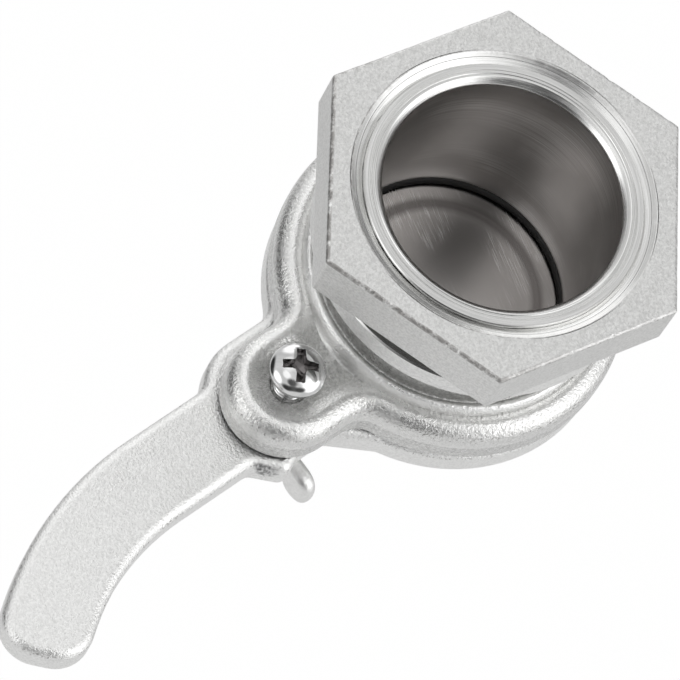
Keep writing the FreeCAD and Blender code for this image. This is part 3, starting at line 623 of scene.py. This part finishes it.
def turned_steel(name, dark, light, roughness, bump, across, along, patchy=0.0):
    """Machined steel: circles of the tool in shade, roughness and bumps, in patches where asked for."""
    material, tree, shader, place = new_material(name, 1.0)
    marks = add_node(tree, "ShaderNodeGroup", [("node_tree", marks_group)])
    marks.inputs["Across"].default_value = across
    marks.inputs["Along"].default_value = along
    tree.links.new(place.outputs["Object"], marks.inputs["Vector"])
    shaded = add_node(tree, "ShaderNodeMix", [("data_type", "RGBA")])
    shaded.inputs["A"].default_value = (*dark, 1.0)
    shaded.inputs["B"].default_value = (*light, 1.0)
    patches = add_node(tree, "ShaderNodeTexNoise", Scale=70.0, Detail=2.0)
    tree.links.new(place.outputs["Object"], patches.inputs["Vector"])
    share = add_node(tree, "ShaderNodeMapRange", From_Min=0.48, From_Max=0.66, To_Min=1.0 - patchy)
    tree.links.new(patches.outputs["Fac"], share.inputs["Value"])
    amount = add_node(tree, "ShaderNodeMath", [("operation", "MULTIPLY")])
    tree.links.new(marks.outputs["Shade"], amount.inputs[0])
    tree.links.new(share.outputs["Result"], amount.inputs[1])
    tree.links.new(amount.outputs["Value"], shaded.inputs["Factor"])
    tree.links.new(shaded.outputs["Result"], shader.inputs["Base Color"])
    rough = add_node(tree, "ShaderNodeMapRange", To_Min=roughness - 0.05, To_Max=roughness + 0.08)
    tree.links.new(marks.outputs["Shade"], rough.inputs["Value"])
    tree.links.new(rough.outputs["Result"], shader.inputs["Roughness"])
    bumps = add_node(tree, "ShaderNodeBump", Strength=bump, Distance=0.00005)
    tree.links.new(marks.outputs["Height"], bumps.inputs["Height"])
    tree.links.new(bumps.outputs["Normal"], shader.inputs["Normal"])
    return material


tube_steel = turned_steel("turned_steel", (0.64, 0.64, 0.63), (0.99, 0.99, 0.98), 0.22, 0.5, 3500.0, 3500.0,
                          patchy=0.2)
bore_steel = turned_steel("bored_steel", (0.60, 0.585, 0.575), (1.0, 0.99, 0.98), 0.33, 0.25, 0.0, 3000.0,
                          patchy=0.9)
shoulder_steel = blasted_steel("shoulder_steel", (0.78, 0.78, 0.77), (0.98, 0.98, 0.97), 0.45, 1900.0,
                               0.9, 0.0)
# The thread is painted dark: painted shade for the gap under the nut
shaded_thread_steel = turned_steel("shaded_threads", (0.22, 0.22, 0.22), (0.40, 0.40, 0.39), 0.38, 0.3, 1500.0,
                            1500.0)
tube_mesh = turned_tube()
place_piece("turned_tube", tube_mesh, tube_steel, "body", "valve_body", crease=30.0)
BORE_SLOT, THREAD_SLOT, SHOULDER_SLOT = 1, 2, 3
for steel in (bore_steel, shaded_thread_steel, shoulder_steel):
    tube_mesh.materials.append(steel)
for face in tube_mesh.polygons:
    reach = math.hypot(face.center.x, face.center.z) / MM
    height = face.center.y / MM
    if reach > SEAT_RADIUS - 0.1:
        face.material_index = SHOULDER_SLOT
    elif reach < BORE_RADIUS + 0.08 and height < THREAD_END:
        face.material_index = BORE_SLOT
    elif THREAD_ROOT - 0.65 < reach < THREAD_CREST + 0.03 and 0.01 < height < THREAD_END - 0.6:
        face.material_index = THREAD_SLOT


# The lock nut: a hexagon pressed from sheet, blasted like the casting. Its edges are sharp and nicked, and
# its hole has a bright turned mouth on both sides.

NUT_HALF_FLAT = 28.2
NUT_TURN = -11.7
NUT_LOW = 4.45
NUT_HIGH = 13.95
NUT_MOUTH = 24.65
NUT_CORNER = 32.43
NUT_THREAD_CREST = 23.96
NUT_THREAD_ROOT = 24.7
KNOCKED_SIDE = -12.0


def hexagon(half_flat, angle):
    """The radius of a hexagon with blunt corners, one of them at the nut's turn, for angles in radians."""
    from_corner = np.mod(angle - math.radians(NUT_TURN), math.radians(60.0))
    return np.minimum(half_flat / np.cos(from_corner - math.radians(30.0)), NUT_CORNER)


def nicked_nut():
    """One closed grid: under face, side, top face and threaded hole. Small nicks bite the edges' rings."""
    steps = 1080
    angle = ring_angles(steps, NUT_TURN)
    random = np.random.default_rng(11)
    coarse = np.interp(np.arange(steps), np.arange(0, steps + 9, 9), random.random(steps // 9 + 1))
    fine = np.interp(np.arange(steps), np.arange(0, steps + 3, 3), random.random(steps // 3 + 1))
    nick = 0.16 * np.clip(coarse * 1.6 - 0.9, 0.0, 1.0) * fine + 0.04 * fine
    rings = []
    wear_and_light = []

    def hex_ring(inset, height, bite=0.0, worn=0.0):
        rings.append((hexagon(NUT_HALF_FLAT - inset, angle) - bite * nick, np.full(steps, height)))
        wear_and_light.append(worn)

    def round_ring(radius, height, bite=0.0, worn=0.0):
        rings.append((np.full(steps, radius) + bite * nick, np.full(steps, height)))
        wear_and_light.append(worn)

    def face_rings(height, outwards):
        shares = (0.06, 0.4, 0.94)
        for share in shares if outwards else reversed(shares):
            edge = hexagon(NUT_HALF_FLAT - 0.48, angle)
            rings.append((NUT_MOUTH + share * (edge - NUT_MOUTH), np.full(steps, height)))
            wear_and_light.append(0.0)

    round_ring(NUT_MOUTH, NUT_LOW)
    face_rings(NUT_LOW, True)
    hex_ring(0.30, NUT_LOW)
    hex_ring(0.12, NUT_LOW + 0.08)
    hex_ring(0.0, NUT_LOW + 0.30)
    for height in (6.5, 8.5, 10.5, 12.5):
        hex_ring(0.0, height)
    hex_ring(0.0, NUT_HIGH - 0.60)
    hex_ring(0.0, NUT_HIGH - 0.45, 1.0, 0.9)
    hex_ring(0.10, NUT_HIGH - 0.22, 1.6, 1.0)
    hex_ring(0.26, NUT_HIGH - 0.07, 2.0, 1.0)
    hex_ring(0.48, NUT_HIGH, 1.0, 0.9)
    hex_ring(0.66, NUT_HIGH)
    face_rings(NUT_HIGH, False)
    round_ring(NUT_MOUTH + 0.3, NUT_HIGH)
    round_ring(NUT_MOUTH + 0.12, NUT_HIGH, 1.0, 0.9)
    round_ring(NUT_MOUTH, NUT_HIGH - 0.04, 1.0, 0.9)
    round_ring(NUT_MOUTH - 0.1, NUT_HIGH - 0.12)
    round_ring(NUT_THREAD_CREST, NUT_HIGH - 0.42)
    round_ring(NUT_THREAD_CREST, NUT_HIGH - 0.55)
    for height in np.arange(NUT_HIGH - 0.9, NUT_LOW + 0.9, -0.2):
        groove = thread_radius(height, angle + math.pi, NUT_THREAD_ROOT, NUT_THREAD_CREST, THREAD_PITCH)
        rings.append((groove, np.full(steps, height)))
        wear_and_light.append(0.0)
    round_ring(NUT_THREAD_CREST - 0.01, NUT_LOW + 0.75)
    radius = np.array([ring[0] for ring in rings])
    height = np.array([ring[1] for ring in rings])
    mesh = ring_grid("lock_nut", radius, height, closed=True, start=NUT_TURN)
    # The edges on the pivot's side are the knocked ones
    knocked = 0.25 + 0.75 * np.clip(np.cos(angle - math.radians(KNOCKED_SIDE)) * 2.0 - 0.2, 0.0, 1.0)
    set_values(mesh, "worn_edge", np.outer(wear_and_light, knocked).ravel())
    return mesh


nut_steel = blasted_steel("nut_steel", (0.62, 0.62, 0.61), (0.86, 0.86, 0.85), 0.34, 2400.0, 0.55, 1.0)
nut_mouth = turned_steel("nut_mouth_steel", (0.60, 0.60, 0.59), (0.88, 0.88, 0.87), 0.24, 0.6, 3500.0, 0.0)
nut_mesh = nicked_nut()
place_piece("hexagon_nut", nut_mesh, nut_steel, "back_nut", "lock_nut", crease=28.0)
nut_mesh.materials.append(nut_mouth)
for face in nut_mesh.polygons:
    if math.hypot(face.center.x, face.center.z) < (NUT_MOUTH + 0.08) * MM and len(face.vertices) == 4:
        if NUT_LOW * MM + 1e-5 < face.center.y < NUT_HIGH * MM - 1e-6:
            face.material_index = 1


# The gate lever: disc, hub, lug and curved handle in one blasted casting, taken from the CAD solid. The
# sealing face is turned, with a soft shallow dish in its middle.

LAND_RADIUS = 25.51
DISH_FLOOR = -23.21
DISC_STEPS = 240
STRIP_PLACE = (8.0 * MM, -24.0 * MM, 43.7 * MM)
STRIP_TURN = 0.591
STRIP_HALF_SIZE = (2.7 * MM, 2.5 * MM, 0.75 * MM)
SCRATCH_TURN = -0.297
SCRATCHES_ALONG = 170.0
SCRATCHES_ACROSS = 4200.0


def is_sealing_face(corners):
    """Triangles of the land and the dish, which a finer turned face replaces."""
    reach = np.hypot(corners[:, 0], corners[:, 2])
    return reach.max() < LAND_RADIUS * MM and corners[:, 1].min() > DISH_FLOOR * MM


lever_steel = blasted_steel("lever_steel", (0.80, 0.80, 0.79), (0.98, 0.98, 0.97), 0.32, 2400.0, 0.60, 1.0)

# The lug's slanted rim keeps the dark hammered strip where the casting's runner was struck off
lever_tree = lever_steel.node_tree
lever_shader = lever_tree.nodes["Principled BSDF"]
lever_place = lever_tree.nodes.new("ShaderNodeTexCoord")
strip_place = add_node(lever_tree, "ShaderNodeMapping", [("vector_type", "TEXTURE")],
                       Location=STRIP_PLACE, Rotation=(0.0, STRIP_TURN, 0.0), Scale=STRIP_HALF_SIZE)
strip_reach = add_node(lever_tree, "ShaderNodeVectorMath", [("operation", "LENGTH")])
strip_mask = add_node(lever_tree, "ShaderNodeMapRange", From_Min=1.05, From_Max=0.75)
strip_dents = add_node(lever_tree, "ShaderNodeTexNoise", Scale=1500.0, Detail=2.0, Roughness=0.6)
strip_shade = add_node(lever_tree, "ShaderNodeMapRange", From_Min=0.40, From_Max=0.60,
                       To_Min=0.20, To_Max=0.72)
struck = add_node(lever_tree, "ShaderNodeMix", [("data_type", "RGBA")])
lever_tree.links.new(lever_place.outputs["Object"], strip_place.inputs["Vector"])
lever_tree.links.new(strip_place.outputs["Vector"], strip_reach.inputs[0])
lever_tree.links.new(strip_reach.outputs["Value"], strip_mask.inputs["Value"])
lever_tree.links.new(lever_place.outputs["Object"], strip_dents.inputs["Vector"])
lever_tree.links.new(strip_dents.outputs["Fac"], strip_shade.inputs["Value"])
lever_tree.links.new(strip_mask.outputs["Result"], struck.inputs["Factor"])
lever_tree.links.new(lever_shader.inputs["Base Color"].links[0].from_socket, struck.inputs["A"])
lever_tree.links.new(strip_shade.outputs["Result"], struck.inputs["B"])
lever_tree.links.new(struck.outputs["Result"], lever_shader.inputs["Base Color"])

lever = place_piece("lever_casting", cad_copy("gate_lever", is_sealing_face), lever_steel, "lever",
                    "gate_lever", crease=40.0)
even_shading(lever)

land_line = [(25.6, -23.24), (25.5, -22.85), (25.35, -22.7), (18.6, -22.7)]
dish_line = rounded([(17.6, -22.7), (16.4, -22.72), (15.4, -22.9), (14.2, -23.06), (12.0, -23.1),
                     (6.0, -23.1)], 3)
disc_line = np.vstack([land_line, dish_line, [(0.0, -23.1)]])


def straight_scratches():
    """Fine straight lines across the disc, in patches: a mask."""
    group, given, result = new_group("straight_scratches", [("Vector", "NodeSocketVector", None)],
                                     [("Mask", "NodeSocketFloat")])
    lay = add_node(group, "ShaderNodeMapping", [("vector_type", "TEXTURE")],
                   Rotation=(0.0, SCRATCH_TURN, 0.0),
                   Scale=(1.0 / SCRATCHES_ALONG, 1.0, 1.0 / SCRATCHES_ACROSS))
    lines = add_node(group, "ShaderNodeTexNoise", Scale=1.0, Detail=2.0, Roughness=0.6)
    thin = add_node(group, "ShaderNodeMapRange", From_Min=0.50, From_Max=0.68)
    patches = add_node(group, "ShaderNodeTexNoise", Scale=80.0, Detail=2.0)
    where = add_node(group, "ShaderNodeMapRange", From_Min=0.42, From_Max=0.6)
    mask = add_node(group, "ShaderNodeMath", [("operation", "MULTIPLY")])
    group.links.new(given.outputs["Vector"], lay.inputs["Vector"])
    group.links.new(lay.outputs["Vector"], lines.inputs["Vector"])
    group.links.new(given.outputs["Vector"], patches.inputs["Vector"])
    group.links.new(lines.outputs["Fac"], thin.inputs["Value"])
    group.links.new(patches.outputs["Fac"], where.inputs["Value"])
    group.links.new(thin.outputs["Result"], mask.inputs[0])
    group.links.new(where.outputs["Result"], mask.inputs[1])
    group.links.new(mask.outputs["Value"], result.inputs["Mask"])
    return group


disc_steel, disc_tree, disc_shader, disc_place = new_material("disc_steel", 1.0)
disc_lines = add_node(disc_tree, "ShaderNodeGroup", [("node_tree", straight_scratches())])
disc_shade = add_node(disc_tree, "ShaderNodeMix", [("data_type", "RGBA")])
disc_shade.inputs["A"].default_value = (0.36, 0.345, 0.335, 1.0)
disc_shade.inputs["B"].default_value = (0.70, 0.69, 0.68, 1.0)
disc_rough = add_node(disc_tree, "ShaderNodeMapRange", To_Min=0.20, To_Max=0.42)
disc_tree.links.new(disc_place.outputs["Object"], disc_lines.inputs["Vector"])
disc_tree.links.new(disc_lines.outputs["Mask"], disc_shade.inputs["Factor"])
disc_tree.links.new(disc_lines.outputs["Mask"], disc_rough.inputs["Value"])
# Painted shade: a soft dark ring on the dish, just inside the seal
disc_ring = add_node(disc_tree, "ShaderNodeAttribute", [("attribute_name", "shaded_ring")])
disc_ring_shaded = add_node(disc_tree, "ShaderNodeMix", [("data_type", "RGBA")])
disc_ring_shaded.inputs["B"].default_value = (0.13, 0.12, 0.115, 1.0)
disc_tree.links.new(disc_ring.outputs["Fac"], disc_ring_shaded.inputs["Factor"])
disc_tree.links.new(disc_shade.outputs["Result"], disc_ring_shaded.inputs["A"])
disc_tree.links.new(disc_ring_shaded.outputs["Result"], disc_shader.inputs["Base Color"])
disc_tree.links.new(disc_rough.outputs["Result"], disc_shader.inputs["Roughness"])
disc_mesh = turned("sealing_face", disc_line, DISC_STEPS)
# Painted shade on the dish's edge
ring_shade = np.interp(disc_line[:, 0], (14.2, 15.3, 16.2, 17.2), (0.0, 0.9, 0.9, 0.0))
# The last ring is the pole, one vertex
set_values(disc_mesh, "shaded_ring", np.repeat(ring_shade, DISC_STEPS)[:len(disc_mesh.vertices)])
place_piece("sealing_face", disc_mesh, disc_steel, "lever", "gate_lever", crease=40.0)


# The seal: a moulded ring of black rubber in the outlet's counterbore, its lip a little inside the bore.

SEAL_STEPS = 240

rubber, rubber_tree, rubber_shader, rubber_place = new_material("black_rubber", 0.0)
rubber_dust = add_node(rubber_tree, "ShaderNodeTexNoise", Scale=600.0, Detail=5.0)
rubber_shade = add_node(rubber_tree, "ShaderNodeMix", [("data_type", "RGBA")])
rubber_shade.inputs["A"].default_value = (0.010, 0.010, 0.010, 1.0)
rubber_shade.inputs["B"].default_value = (0.030, 0.029, 0.028, 1.0)
rubber_rough = add_node(rubber_tree, "ShaderNodeMapRange", To_Min=0.45, To_Max=0.65)
rubber_tree.links.new(rubber_place.outputs["Object"], rubber_dust.inputs["Vector"])
rubber_tree.links.new(rubber_dust.outputs["Fac"], rubber_shade.inputs["Factor"])
rubber_tree.links.new(rubber_dust.outputs["Fac"], rubber_rough.inputs["Value"])
rubber_tree.links.new(rubber_shade.outputs["Result"], rubber_shader.inputs["Base Color"])
rubber_tree.links.new(rubber_rough.outputs["Result"], rubber_shader.inputs["Roughness"])

seal_line = rounded([(18.9, -22.55), (22.95, -22.55), (22.95, -21.27), (19.2, -21.27)], 1, closed=True)
place_piece("seal_lip_ring", turned("seal_lip_ring", seal_line, SEAL_STEPS, closed=True), rubber, "body",
            "seal_ring", crease=60.0)


# The pivot screw: a pan head screw, rolled and polished, with a cross recess and a fine metric thread.

PIVOT = (0.0, EAR_HEIGHT)
HEAD_BASE = -11.2
HEAD_RADIUS = 4.6
HEAD_RIM = 0.75
DOME_RISE = 2.25
CROSS_TURN = 41.0
CROSS_REACH = 2.9
CROSS_DEPTH = 1.9
CROSS_EDGE = 0.12
SCREW_PITCH = 0.8
SCREW_CREST = 2.5
SCREW_ROOT = 2.12
SCREW_LENGTH = 25.0


def pan_head_screw():
    """Rings from the dome's pole to the thread's end; the recess sinks the dome where a cross covers it."""
    steps = 192
    angle = ring_angles(steps)
    reach = np.concatenate([np.linspace(0.0, 3.2, 44), np.linspace(3.3, HEAD_RADIUS, 14)])[:, None]
    reach = reach + np.zeros(steps)
    dome = HEAD_RIM + DOME_RISE * (1.0 - (reach / HEAD_RADIUS) ** 2.4) ** (1.0 / 1.6)
    across = reach * np.sin(angle - math.radians(90.0 - CROSS_TURN))
    along = reach * np.cos(angle - math.radians(90.0 - CROSS_TURN))
    long_way = np.maximum(np.abs(across), np.abs(along))
    short_way = np.minimum(np.abs(across), np.abs(along))
    flank = 0.72 + 0.35 * np.clip(1.4 - long_way, 0.0, 1.0) - short_way
    inside = np.minimum(flank, CROSS_REACH - long_way)
    sunk = np.clip(inside / CROSS_EDGE, 0.0, 1.0)
    floor_depth = CROSS_DEPTH - 0.28 * long_way
    height = HEAD_BASE + dome - floor_depth * sunk * sunk * (3.0 - 2.0 * sunk)
    plain = [(HEAD_RADIUS, 0.72), (HEAD_RADIUS, 0.2), (4.5, 0.04), (4.3, 0.0), (2.7, 0.0),
             (SCREW_CREST, -0.1)]
    thread_height = np.arange(-0.2, 0.6 - SCREW_LENGTH, -0.1)[:, None] + np.zeros(steps)
    thread = thread_radius(thread_height, angle, SCREW_CREST, SCREW_ROOT, SCREW_PITCH)
    point = [(2.2, 0.5 - SCREW_LENGTH), (2.0, -SCREW_LENGTH), (0.0, -SCREW_LENGTH)]
    plain_radius, plain_height = even_rings(plain, steps, HEAD_BASE)
    point_radius, point_height = even_rings(point, steps, HEAD_BASE)
    radius = np.vstack([reach, plain_radius, thread, point_radius])
    height = np.vstack([height, plain_height, HEAD_BASE + thread_height, point_height])
    mesh = ring_grid("pan_head_screw", radius, height, PIVOT)
    # The dome's pole is one vertex, so its ring gives one value
    shade = np.zeros(len(mesh.vertices))
    shade[0] = 1.0
    shade[1:1 + (len(reach) - 1) * steps] = sunk[1:].ravel()
    set_values(mesh, "recess", shade)
    return mesh


screw_steel = turned_steel("bright_steel", (0.66, 0.66, 0.66), (0.82, 0.82, 0.82), 0.09, 0.1, 900.0, 900.0)
screw_tree = screw_steel.node_tree
screw_shader = screw_tree.nodes["Principled BSDF"]
# The cross recess is painted dark: painted shade inside the recess
screw_recess = add_node(screw_tree, "ShaderNodeAttribute", [("attribute_name", "recess")])
screw_shade = add_node(screw_tree, "ShaderNodeMix", [("data_type", "RGBA")])
screw_shade.inputs["B"].default_value = (0.16, 0.15, 0.15, 1.0)
screw_tree.links.new(screw_recess.outputs["Fac"], screw_shade.inputs["Factor"])
screw_tree.links.new(screw_shader.inputs["Base Color"].links[0].from_socket, screw_shade.inputs["A"])
screw_tree.links.new(screw_shade.outputs["Result"], screw_shader.inputs["Base Color"])
place_piece("pan_head_screw", pan_head_screw(), screw_steel, "body", "pivot_screw", crease=50.0)


# The washers behind the lever: a punched flat one and a split spring one, both of satin steel wire and sheet.

WASHER_HOLE = 2.56
WASHER_RIM = 4.98
WASHER_BACK = -30.24
WASHER_FRONT = -29.26
SPRING_HOLE = 2.6
SPRING_RIM = 4.58
SPRING_BACK = -31.58
SPRING_FRONT = -30.32
SPRING_LEAN = 0.11

washer_steel = turned_steel("washer_steel", (0.50, 0.50, 0.49), (0.66, 0.66, 0.65), 0.30, 0.3, 1500.0, 1500.0)
washer_line = rounded([(WASHER_HOLE, WASHER_BACK), (WASHER_RIM, WASHER_BACK), (WASHER_RIM, WASHER_FRONT),
                       (WASHER_HOLE, WASHER_FRONT)], 2, closed=True)
place_piece("punched_washer", turned("punched_washer", washer_line, 96, PIVOT, closed=True), washer_steel,
            "body", "flat_washer", crease=60.0)


def split_ring():
    """A square wire bent to one turn, with slanted flat ends: its section's corners are cut twice."""
    section = rounded([(SPRING_HOLE, SPRING_BACK), (SPRING_RIM, SPRING_BACK), (SPRING_RIM, SPRING_FRONT),
                       (SPRING_HOLE, SPRING_FRONT)], 2, closed=True)
    turns = np.radians(np.linspace(98.0, 442.0, 97))[:, None]
    lean = (section[:, 1] - (SPRING_BACK + SPRING_FRONT) / 2.0) * SPRING_LEAN
    around = turns + lean
    points = np.stack([PIVOT[0] + section[:, 0] * np.sin(around), section[:, 1] + np.zeros_like(around),
                       PIVOT[1] + section[:, 0] * np.cos(around)], axis=2)
    rows, steps = around.shape
    index = np.arange(rows * steps).reshape(rows, steps)
    near, far = index[:-1], index[1:]
    quads = np.stack([near, np.roll(near, -1, axis=1), np.roll(far, -1, axis=1), far], axis=2).reshape(-1, 4)
    faces = quads.tolist() + [index[0, ::-1].tolist(), index[-1].tolist()]
    mesh = bpy.data.meshes.new("split_ring")
    mesh.from_pydata((points.reshape(-1, 3) * MM).tolist(), [], faces)
    return mesh


place_piece("split_ring", split_ring(), washer_steel, "body", "spring_washer", crease=50.0)


# The wing nut: drop-forged in one piece, its hub a short cone and its two wings thick plates with round
# edges.

HUB_BASE = -31.65
HUB_TOP = -36.45
HUB_HOLE = 2.6
WING_ROOT = 3.0
WING_HALF_THICKNESS = 1.7


def wing(side):
    """A wing as a pillow: its outline shrinks to the middle of both faces, and its thickness falls off in a
    round edge towards the outline."""
    outline = rounded([(WING_ROOT, -32.2), (8.5, -32.2), (11.6, -32.6), (13.2, -34.6), (13.2, -38.2),
                       (11.6, -39.15), (9.2, -38.9), (7.6, -37.0), (5.4, -35.6), (WING_ROOT, -35.9)], 3,
                      closed=True)
    middle = outline.mean(axis=0)
    shares = np.sin(np.linspace(0.0, math.pi / 2.0, 14)) ** 0.7
    half = WING_HALF_THICKNESS * (1.0 - shares ** 5.0) ** (1.0 / 2.2)
    steps = len(outline)
    rows = []
    for share, depth in [*zip(shares, half), *zip(shares[-2::-1], -half[-2::-1])]:
        rows.append(np.column_stack([middle + share * (outline - middle), np.full(steps, depth)]))
    points = np.array(rows)[:, ::-1] if side > 0.0 else np.array(rows)
    return grid_mesh("wing", points * (side, 1.0, 1.0) + (0.0, 0.0, PIVOT[1]))


wing_steel = blasted_steel("wing_steel", (0.78, 0.78, 0.77), (0.90, 0.90, 0.89), 0.36, 1500.0, 0.35, 0.0)
hub_line = rounded([(HUB_HOLE, HUB_BASE), (5.2, HUB_BASE), (5.15, -32.6), (4.4, -36.1), (4.2, HUB_TOP),
                    (HUB_HOLE, HUB_TOP)], 1, closed=True)
place_piece("wing_nut_hub", turned("wing_nut_hub", hub_line, 120, PIVOT, closed=True), wing_steel, "wing",
            "wing_nut", crease=50.0)
place_piece("right_wing", wing(1.0), wing_steel, "wing", "wing_nut", crease=60.0)
place_piece("left_wing", wing(-1.0), wing_steel, "wing", "wing_nut", crease=60.0)
